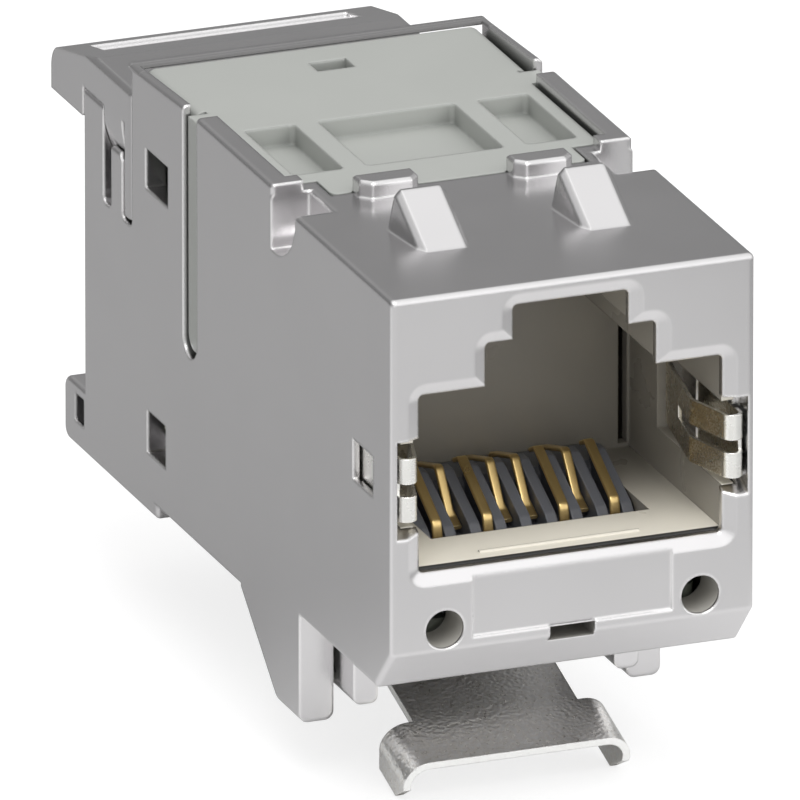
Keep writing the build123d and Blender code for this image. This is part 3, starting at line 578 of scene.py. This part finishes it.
@dataclass(frozen=True)
class Finishes:
    """All the finishes of the jack."""

    cast_metal: Finish = Finish(
        "cast_metal", (0.70, 0.69, 0.695), 0.24, 1.0, Grain.CAST, 0.10, 0.0015, 0.19,
        # Painted highlight on edges and painted shade in hollows.
        edge_highlight=(0.92, 0.91, 0.91), hollow_shade=(0.36, 0.355, 0.34), hollow_start=0.35,
        # Painted shade in boxes: the key slot, the two front holes, and a band across the top where the
        # housing meets the rear cap.
        shade_boxes=(ShadeBox((-0.92, 0.92), (0.14, 1.7), (-6.43, -5.77), (0.25, 0.24, 0.22)),
                  ShadeBox((-6.0, -4.2), (0.14, 1.85), (-6.25, -4.4), (0.48, 0.465, 0.43)),
                  ShadeBox((4.2, 6.0), (0.14, 1.85), (-6.25, -4.4), (0.48, 0.465, 0.43)),
                  ShadeBox((-7.3, 7.3), (26.3, 27.3), (7.95, 9.0), (0.18, 0.178, 0.178))),
        mottle=0.012, mottle_size=5.0, smear=0.012)
    spring_steel: Finish = Finish(
        "spring_steel", (1.0, 0.98, 0.93), 0.30, 1.0, Grain.PEENED, 0.15, 0.018, 0.08,
        # Faces that look forward get a painted highlight, near white; edges get a painted highlight and
        # hollows painted shade.
        edge_highlight=(1.0, 1.0, 0.98), facet=PaintedFacet((0.0, -1.0, 0.0), (1.0, 1.0, 0.98)),
        hollow_shade=(0.40, 0.37, 0.32), hollow_start=0.3, mottle=0.06, mottle_size=0.16)
    spring_strip: Finish = Finish(
        "spring_strip", (0.98, 0.97, 0.93), 0.27, 1.0, Grain.PEENED, 0.08, 0.006, 0.06,
        # Painted highlight on edges; painted shade deeper in, brown and speckled on inner sides.
        edge_highlight=(1.0, 0.98, 0.93), depth_shade=DepthShade(0.25, 0.55, (0.95, 0.90, 0.78), (0.66, 0.58, 0.43)),
        mottle=0.03, mottle_size=0.8)
    gold_plate: Finish = Finish(
        "gold_plate", srgb(224, 195, 134), 0.30, 0.9, Grain.ROLLED, 0.06, 0.002, 0.03,
        # Painted highlight on edges.
        edge_highlight=srgb(248, 224, 170), mottle=0.05, mottle_size=1.5)
    terminal_tin: Finish = Finish(
        "terminal_tin", (0.68, 0.68, 0.66), 0.26, 1.0, Grain.ROLLED, 0.2, 0.002, 0.04)
    ivory_plastic: Finish = Finish(
        "ivory_plastic", srgb(240, 235, 222), 0.28, 0.0, Grain.MOULDED, 0.12, 0.001, 0.10,
        # Painted shade in hollows, deeper in, on faces that look left, and in a near-black band just inside
        # the port's mouth.
        hollow_shade=srgb(60, 56, 50), hollow_reach=0.6, hollow_start=0.4,
        depth_shade=DepthShade(1.5, 9.0, srgb(137, 133, 125)), facet=PaintedFacet((-1.0, 0.0, 0.0), srgb(150, 146, 138)),
        shade_boxes=(ShadeBox((-6.7, 6.7), (0.50, 0.80), (-3.7, -3.0), (0.02, 0.02, 0.02)),),
        mottle=0.008, smear=0.01)
    cover_plastic: Finish = Finish(
        "cover_plastic", srgb(168, 170, 166), 0.42, 0.0, Grain.MOULDED, 0.10, 0.003, 0.20,
        # Painted highlight on edges and painted shade in hollows.
        edge_highlight=srgb(180, 182, 178), hollow_shade=srgb(112, 115, 111), hollow_reach=1.2, hollow_start=0.75,
        mottle=0.01, mottle_size=4.0, smear=0.02)
    dark_plastic: Finish = Finish(
        "dark_plastic", srgb(100, 102, 108), 0.40, 0.0, Grain.MOULDED, 0.10, 0.002, 0.12,
        # Painted highlight on edges and painted shade in hollows.
        edge_highlight=srgb(126, 128, 134), hollow_shade=srgb(50, 51, 54), hollow_reach=0.5, mottle=0.03)
    block_plastic: Finish = Finish(
        "block_plastic", srgb(206, 202, 188), 0.45, 0.0, Grain.MOULDED, 0.10, 0.003,
        # Painted shade in hollows.
        hollow_shade=srgb(84, 80, 70), hollow_reach=1.0)
    board: Finish = Finish(
        "board", srgb(104, 108, 98), 0.35, 0.0, Grain.LAMINATE, 0.3, 0.002, 0.04, coat=0.3)


@dataclass
class SubAssembly:
    """Pieces of the jack that belong together."""

    finishes: Finishes

    def paint(self, finish: Finish, *nodes: str) -> None:
        """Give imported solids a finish.

        Args:
            finish: The finish.
            nodes: Names of the solids.
        """
        material = finish.material()
        for node in nodes:
            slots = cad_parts[node].data.materials
            slots.clear()
            slots.append(material)
            LOG.info("%s: %s", node, finish.name)


@dataclass
class Shell(SubAssembly):
    """The die-cast housing and the hood over the cable entry."""

    def dress(self) -> None:
        """Give both castings the same satin metal."""
        self.paint(self.finishes.cast_metal, "housing", "rear_cap")


@dataclass
class Port(SubAssembly):
    """The lining of the plug's port and the ribbed carrier in its floor."""

    def dress(self) -> None:
        """Give the mouldings their plastics."""
        self.paint(self.finishes.ivory_plastic, "port_lining")
        self.paint(self.finishes.dark_plastic, "contact_carrier")


@dataclass
class Springs(SubAssembly):
    """The latch spring and the two shield springs."""

    def dress(self) -> None:
        """Give the springs their steels."""
        self.paint(self.finishes.spring_steel, "latch_spring")
        self.paint(self.finishes.spring_strip, "shield_spring_left", "shield_spring_right")


@dataclass
class Contacts(SubAssembly):
    """Eight flat contacts, four rising from the front and four dropping from the back.

    The points of each strip are depths, and heights above the port's floor.
    """

    count: int = 8
    thickness: float = 0.18
    corner: float = 0.07
    bend: float = 0.22
    port_floor: float = -3.06
    front_leg: float = 4.75
    rising_width: float = 0.40
    rising: tuple[Point, ...] = ((4.75, -0.5), (4.87, 0.05), (7.45, 1.46), (7.95, 1.21))
    dropping_width: float = 0.36
    dropping: tuple[Point, ...] = ((9.5, 0.64), (7.26, 1.31), (6.0, -0.30), (5.5, -0.52))
    foot_flare: float = 0.4
    foot_start: float = 0.9

    def build(self) -> None:
        """Sweep the eight strips in place of the plain solids."""
        strip = Strip("contact_strip", self.finishes.gold_plate.material())
        for number in range(1, self.count + 1):
            node = f"contact_{number}"
            low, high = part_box(node)
            middle = (low[0] + high[0]) / 2
            rises = low[1] < self.front_leg * MM
            route = self.rising if rises else self.dropping
            pin_end = low[2] + self.thickness * MM / 2
            points = [Vector((middle, route[0][0] * MM, pin_end))]
            points += [Vector((middle, y * MM, (self.port_floor + z) * MM)) for y, z in route]
            piece = strip.sweep(f"{node}_strip", points, {
                "Width": (self.rising_width if rises else self.dropping_width) * MM,
                "Thickness": self.thickness * MM, "Corner": self.corner * MM, "Bend": self.bend * MM,
                "Flare": 0.0 if rises else self.foot_flare, "Flare start": self.foot_start, "Middle": middle})
            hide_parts(node)
            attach(piece, "jack")
            LOG.info("%s: swept strip", node)


@dataclass
class Termination(SubAssembly):
    """The cover that presses the wires home, and the block, blades and board below it."""

    blades: int = 8

    def dress(self) -> None:
        """Give each piece its plastic, tin or laminate."""
        self.paint(self.finishes.cover_plastic, "stuffer_cap")
        self.paint(self.finishes.block_plastic, "idc_block")
        blades = [f"idc_terminal_{number}" for number in range(1, self.blades + 1)]
        self.paint(self.finishes.terminal_tin, *blades)
        self.paint(self.finishes.board, "circuit_board")


@dataclass(frozen=True)
class Slope:
    """A smooth change between two values."""

    low: float
    high: float
    start: float
    end: float

    def on(self, value: Socket) -> Socket:
        """Read the slope at a value."""
        return value.ramp(self.low, self.high, self.start, self.end)


@dataclass
class Studio:
    """Floor, lamp, world and camera. Places are in millimetres, the slopes of the floor's painted shade in
    metres.
    """

    floor_gap: float = 0.02
    floor_size: float = 900.0
    # Painted shade on the floor, seen in reflections and bounced light: darker far in front, behind and to the
    # right.
    floor_front_shade: Slope = Slope(-0.028, -0.004, 0.59, 0.81)
    floor_back_shade: Slope = Slope(0.002, 0.03, 1.0, 0.50)
    floor_right_shade: Slope = Slope(0.024, 0.04, 1.0, 0.65)
    floor_seen: float = 0.35
    floor_glow: float = 0.75
    sky_up: Slope = Slope(0.42, 0.88, 0.0, 1.0)
    sky_back: Slope = Slope(-0.5, 0.75, 1.35, 0.28)
    sky_left: Slope = Slope(-0.9, -0.2, 0.35, 1.0)
    sky_top: float = 1.10
    lamp_place: Way = (-40, -90, 170)
    lamp_size: float = 120
    lamp_level: float = 0.45
    turn: float = 21.188
    height: float = 20.415
    lens: float = 1700.0
    sensor: float = 36.0
    frame_width: float = 30.06
    middle: Way = (0.024, 17.84, -3.117)

    def build(self, lowest: float) -> None:
        """Make everything round the object.

        Args:
            lowest: Height of the object's lowest point, in metres.
        """
        self._floor(lowest - self.floor_gap * MM)
        self._world()
        self._lamp()
        self._camera()

    def _floor(self, height: float) -> None:
        """Lay the floor: evenly bright to the camera, with painted shade for reflections and bounced light.

        Args:
            height: Its height, in metres.
        """
        half = self.floor_size * MM / 2
        mesh = bpy.data.meshes.new("floor")
        corners = [(x, y, height) for x, y in ((-half, -half), (half, -half), (half, half), (-half, half))]
        mesh.from_pydata(corners, [], [(0, 1, 2, 3)])
        floor = bpy.data.objects.new("floor", mesh)
        bpy.context.scene.collection.objects.link(floor)
        material = bpy.data.materials.new("floor")
        material.use_nodes = True
        shader = Shader(material.node_tree)
        place = shader.place("Object")
        depth, across = shader.axis(place, "Y"), shader.axis(place, "X")
        # Painted shade: darker far in front, behind and to the right.
        floor_shade = self.floor_front_shade.on(depth) * self.floor_back_shade.on(depth) * self.floor_right_shade.on(across)
        floor_shade_colour = shader.node("ShaderNodeCombineColor", {}, {0: floor_shade, 1: floor_shade, 2: floor_shade})
        seen = shader.node("ShaderNodeAddShader", {}, {
            0: shader.node("ShaderNodeBsdfDiffuse", {}, {"Color": (self.floor_seen,) * 3}),
            1: shader.node("ShaderNodeEmission", {}, {"Color": (1, 1, 1), "Strength": self.floor_glow})})
        surface = shader.node("ShaderNodeMixShader", {}, {
            0: shader.node("ShaderNodeLightPath", output="Is Camera Ray"),
            1: shader.node("ShaderNodeBsdfDiffuse", {}, {"Color": floor_shade_colour}), 2: seen})
        shader.node("ShaderNodeOutputMaterial", {}, {"Surface": surface})
        mesh.materials.append(material)
        LOG.info("floor")

    def _world(self) -> None:
        """Light the room: bright above and in front, dim at the left and low down at the back."""
        world = bpy.data.worlds.new("room")
        world.use_nodes = True
        bpy.context.scene.world = world
        shader = Shader(world.node_tree)
        way = shader.place("Generated")
        overhead = self.sky_up.on(shader.axis(way, "Z"))
        horizon = self.sky_back.on(shader.axis(way, "Y")) * self.sky_left.on(shader.axis(way, "X"))
        level = overhead * self.sky_top + (1 - overhead) * horizon
        surface = shader.node("ShaderNodeMixShader", {}, {
            0: shader.node("ShaderNodeLightPath", output="Is Camera Ray"),
            1: shader.node("ShaderNodeBackground", {}, {"Color": (1, 1, 1), "Strength": level}),
            2: shader.node("ShaderNodeBackground", {}, {"Color": (1, 1, 1), "Strength": 1.0})})
        shader.node("ShaderNodeOutputWorld", {}, {"Surface": surface})
        LOG.info("room")

    def _lamp(self) -> None:
        """Hang one square lamp that faces the object."""
        data = bpy.data.lights.new("key", "AREA")
        data.size = self.lamp_size * MM
        spot = Vector(self.lamp_place) * MM
        data.energy = self.lamp_level * math.pi * math.pi * spot.length ** 2
        lamp = bpy.data.objects.new("key", data)
        lamp.location = spot
        lamp.rotation_euler = (Vector(self.middle) * MM - spot).to_track_quat("-Z", "Y").to_euler()
        bpy.context.scene.collection.objects.link(lamp)
        LOG.info("key lamp")

    def _camera(self) -> None:
        """Place the camera at the photograph's angle, far off with a long lens."""
        data = bpy.data.cameras.new("camera")
        data.lens = self.lens
        data.sensor_width = self.sensor
        distance = self.frame_width * self.lens / self.sensor * MM
        data.clip_start = distance * 0.5
        data.clip_end = distance * 4
        turn, height = math.radians(self.turn), math.radians(self.height)
        level = math.cos(height)
        back = Vector((-math.sin(turn) * level, -math.cos(turn) * level, math.sin(height)))
        camera = bpy.data.objects.new("camera", data)
        camera.location = Vector(self.middle) * MM + back * distance
        camera.rotation_euler = (-back).to_track_quat("-Z", "Y").to_euler()
        bpy.context.scene.collection.objects.link(camera)
        bpy.context.scene.camera = camera
        LOG.info("camera")


def main() -> None:
    """Dress the solids, sweep the contacts and set the studio."""
    logging.basicConfig(level=logging.INFO, format="%(message)s")
    finishes = Finishes()
    for part in (Shell(finishes), Port(finishes), Springs(finishes), Termination(finishes)):
        part.dress()
    Contacts(finishes).build()
    Studio().build(CAD_BOX[0].z)
    bpy.context.scene.view_settings.view_transform = "Standard"


if __name__ == "__main__":
    main()
